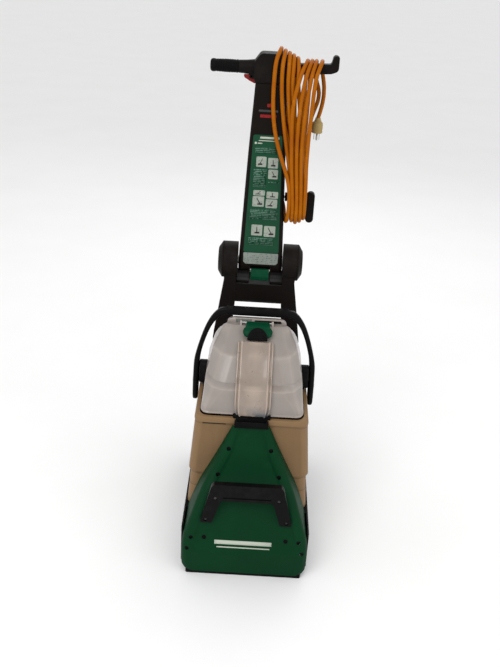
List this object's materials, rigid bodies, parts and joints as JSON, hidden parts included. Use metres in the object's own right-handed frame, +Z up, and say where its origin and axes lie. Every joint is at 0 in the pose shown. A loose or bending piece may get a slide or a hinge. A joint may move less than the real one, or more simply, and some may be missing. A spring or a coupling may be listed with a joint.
{
  "type": "upright carpet cleaner",
  "caption": "Upright carpet cleaner with lift-off tank, clear lid, swinging bail, folding handle, rear wheels, rotating brush and a mains cord wound on the handle.",
  "frame": {"origin": "on the floor under the middle of the machine's bounding box, without the cord", "axes": "+Z up, the hood faces -Y, +X is to the right when seen from the front"},
  "size_m": [0.306, 0.53, 1.1625],
  "materials": {
    "base_black": "moulded, fine grain",
    "hood_green": "moulded, satin gloss",
    "handle_black": "moulded, fine grain",
    "frame_brown": "moulded, fine grain",
    "clear_tank": "translucent smoked beige",
    "clear_lid": "frosted translucent grey",
    "latch_green": "moulded, satin",
    "soft_black": "soft rubber",
    "trigger_red": "glossy",
    "cord_orange": "smooth extruded jacket",
    "plug_yellow": "moulded",
    "label_green": "printed film",
    "label_white": "printed film",
    "steel": "turned",
    "dark_screw": "black oxide",
    "motor_metal": "cast",
    "tyre_black": "moulded tread",
    "inner_plastic": "moulded",
    "bristle": "nylon",
    "filter_grey": "lint on foam",
    "float_red": "moulded"
  },
  "bodies": {
    "base": {"chassis": "base_black", "floor_nozzle": "handle_black", "hood": "hood_green", "hood_screws": "dark_screw", "carry_handle": "handle_black", "carry_handle_screws": "dark_screw", "neck_seal": "soft_black", "suction_duct": "inner_plastic", "brush_cover": "inner_plastic", "brush_bearings": "steel", "brush_motor": "motor_metal", "drive_belt": "soft_black", "vacuum_motor": "motor_metal", "water_pump": "inner_plastic", "spray_bar": "inner_plastic", "exhaust_grille": "base_black", "rear_axle": "steel", "axle_clips": "steel", "yoke": "frame_brown", "yoke_bolts": "steel", "hinge_cap_left": "frame_brown", "hinge_cap_right": "frame_brown", "hinge_pin": "steel"},
    "brush": {"brush_core": "inner_plastic", "brush_bristles": "bristle", "brush_pulley": "motor_metal"},
    "motor_shaft": {"motor_pulley": "steel"},
    "left_wheel": {"wheel_left": "base_black", "tyre_left": "tyre_black"},
    "right_wheel": {"wheel_right": "base_black", "tyre_right": "tyre_black"},
    "tank_unit": {"tank": "clear_tank", "tank_gasket": "soft_black"},
    "lid_unit": {"tank_lid": "clear_lid", "suction_channel": "clear_lid", "channel_filter": "filter_grey", "float_guide": "inner_plastic", "bail_pivots": "dark_screw", "latch_pin": "steel"},
    "float": {"shutoff_float": "float_red"},
    "carry_bail": {"bail": "handle_black"},
    "latch": {"lid_latch": "latch_green", "latch_thumb_pad": "soft_black"},
    "handle": {"upright_front": "frame_brown", "upright_rear": "frame_brown", "upright_screws": "dark_screw", "instruction_label": "label_green", "information_label": "label_white", "pivot_pins": "steel", "handle_head": "frame_brown", "grip_sleeve": "soft_black", "cord_gland": "soft_black", "cord_lead": "cord_orange", "cord_hank": "cord_orange", "cord_tail": "cord_orange", "power_plug": "plug_yellow"},
    "catch": {"fold_latch": "latch_green"},
    "spray_trigger": {"trigger": "trigger_red"},
    "lower_hook": {"cord_hook": "frame_brown"},
    "rocker": {"power_switch": "trigger_red"}
  },
  "joints": [
    {"name": "tank_lift", "type": "slide", "parent": "base", "child": "tank_unit", "axis": [0, 0, 1], "range_m": [0, 0.26]},
    {"name": "lid_lift", "type": "slide", "parent": "tank_unit", "child": "lid_unit", "axis": [0, 0, 1], "range_m": [0, 0.15]},
    {"name": "float_rise", "type": "slide", "parent": "lid_unit", "child": "float", "axis": [0, 0, 1], "range_m": [0, 0.05]},
    {"name": "bail_swing", "type": "hinge", "parent": "lid_unit", "child": "carry_bail", "pos_m": [0, 0.02, 0.377], "axis": [1, 0, 0], "range_deg": [0, 85]},
    {"name": "latch_open", "type": "hinge", "parent": "lid_unit", "child": "latch", "pos_m": [0, 0.027, 0.5378], "axis": [-1, 0, 0], "range_deg": [0, 50], "stiffness_Nm_per_rad": 0.15},
    {"name": "handle_fold", "type": "hinge", "parent": "base", "child": "handle", "pos_m": [0, 0.17, 0.645], "axis": [-1, 0, 0], "range_deg": [-95, 0]},
    {"name": "catch_open", "type": "hinge", "parent": "handle", "child": "catch", "pos_m": [0, 0.134, 0.634], "axis": [-1, 0, 0], "range_deg": [0, 22], "stiffness_Nm_per_rad": 0.3},
    {"name": "trigger_pull", "type": "hinge", "parent": "handle", "child": "spray_trigger", "pos_m": [-0.046, 0.17, 1.098], "axis": [0, 1, 0], "range_deg": [0, 12], "stiffness_Nm_per_rad": 0.3},
    {"name": "hook_turn", "type": "hinge", "parent": "handle", "child": "lower_hook", "pos_m": [0.08, 0.17, 0.816], "axis": [1, 0, 0], "range_deg": [0, 180]},
    {"name": "switch_rock", "type": "hinge", "parent": "handle", "child": "rocker", "pos_m": [-0.02, 0.192, 1.04], "axis": [1, 0, 0], "range_deg": [0, 12]},
    {"name": "brush_spin", "type": "hinge", "parent": "base", "child": "brush", "pos_m": [0, -0.21, 0.032], "axis": [1, 0, 0], "continuous": true},
    {"name": "motor_spin", "type": "hinge", "parent": "base", "child": "motor_shaft", "pos_m": [-0.1, -0.184, 0.092], "axis": [1, 0, 0], "continuous": true},
    {"name": "left_wheel_spin", "type": "hinge", "parent": "base", "child": "left_wheel", "pos_m": [-0.133, 0.17, 0.095], "axis": [1, 0, 0], "continuous": true},
    {"name": "right_wheel_spin", "type": "hinge", "parent": "base", "child": "right_wheel", "pos_m": [0.133, 0.17, 0.095], "axis": [1, 0, 0], "continuous": true}
  ],
  "couplings": [
    {"joint": "motor_spin", "follows": "brush_spin", "ratio": 1.8}
  ]
}
